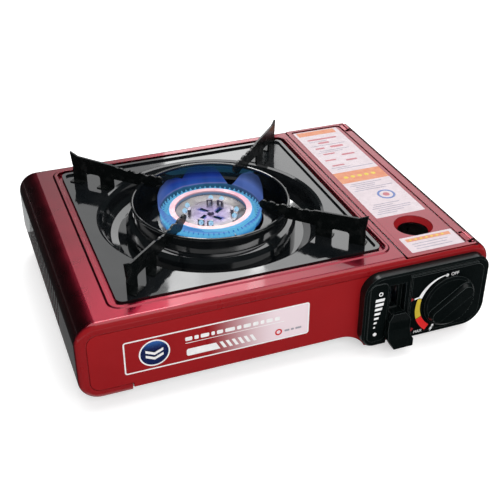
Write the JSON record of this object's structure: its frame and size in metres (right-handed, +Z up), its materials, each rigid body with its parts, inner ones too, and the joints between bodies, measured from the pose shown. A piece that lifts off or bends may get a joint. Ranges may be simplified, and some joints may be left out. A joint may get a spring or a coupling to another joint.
{
  "type": "portable gas stove",
  "caption": "Portable cassette gas stove with a lift-out drip pan and pan supports, a side gas bay under a hinged lid, a control knob and a locking lever.",
  "frame": {"origin": "centre of the bounding box on the table, between the feet", "axes": "+X to the user's right, towards the gas bay; +Y away from the user, to the back; +Z up"},
  "size_m": [0.345, 0.276, 0.1065],
  "materials": {
    "red_paint": "gloss",
    "zinc_sheet": "satin",
    "black_rubber": "matt",
    "black_enamel": "high gloss",
    "cast_alloy": "as cast",
    "burner_steel": "heat-stained satin",
    "white_ceramic": "glazed",
    "steel_wire": "satin",
    "wire_sleeve": "satin",
    "black_plastic": "satin",
    "passivated_zinc": "satin",
    "brass": "turned"
  },
  "bodies": {
    "case": {"body_shell": "red_paint", "front_panel": "red_paint", "back_panel": "red_paint", "bottom_plate": "zinc_sheet", "partition": "zinc_sheet", "gas_tray": "zinc_sheet", "left_feet": "black_rubber", "right_feet": "black_rubber", "burner_body": "cast_alloy", "burner_head": "cast_alloy", "burner_dish": "burner_steel", "burner_bracket": "zinc_sheet", "igniter_ceramic": "white_ceramic", "igniter_tip": "steel_wire", "ignition_wire": "wire_sleeve", "piezo_igniter": "black_plastic", "regulator_body": "cast_alloy", "regulator_cover": "passivated_zinc", "regulator_bracket": "zinc_sheet", "gas_jet": "brass", "inlet_seal": "black_rubber", "control_panel": "black_plastic", "panel_screws": "steel_wire", "canister_guide": "zinc_sheet", "canister_rests": "black_rubber", "hinge_brackets": "red_paint", "hinge_pins": "steel_wire"},
    "pan_unit": {"drip_pan": "black_enamel", "wind_ring": "black_enamel", "support_arm_front_left": "black_enamel", "support_arm_front_right": "black_enamel", "support_arm_back_right": "black_enamel", "support_arm_back_left": "black_enamel"},
    "gas_knob": {"knob": "black_plastic", "valve_shaft": "brass"},
    "locking_lever": {"lock_lever": "black_plastic"},
    "canister_carrier": {"canister_slide": "zinc_sheet"},
    "canister_lid": {"lid": "red_paint"}
  },
  "joints": [
    {"name": "pan_lift", "type": "slide", "parent": "case", "child": "pan_unit", "axis": [0, 0, 1], "range_m": [0, 0.11]},
    {"name": "knob_turn", "type": "hinge", "parent": "case", "child": "gas_knob", "pos_m": [0.1305, -0.128, 0.0395], "axis": [0, -1, 0], "range_deg": [-126, 24]},
    {"name": "lever_slide", "type": "slide", "parent": "case", "child": "locking_lever", "axis": [0, 0, 1], "range_m": [0, 0.02]},
    {"name": "carrier_slide", "type": "slide", "parent": "case", "child": "canister_carrier", "axis": [0, 1, 0], "range_m": [0, 0.007]},
    {"name": "lid_hinge", "type": "hinge", "parent": "case", "child": "canister_lid", "pos_m": [0.159, 0.01, 0.078], "axis": [0, 1, 0], "range_deg": [0, 105]}
  ],
  "couplings": [
    {"joint": "carrier_slide", "follows": "lever_slide", "ratio": 0.35}
  ]
}
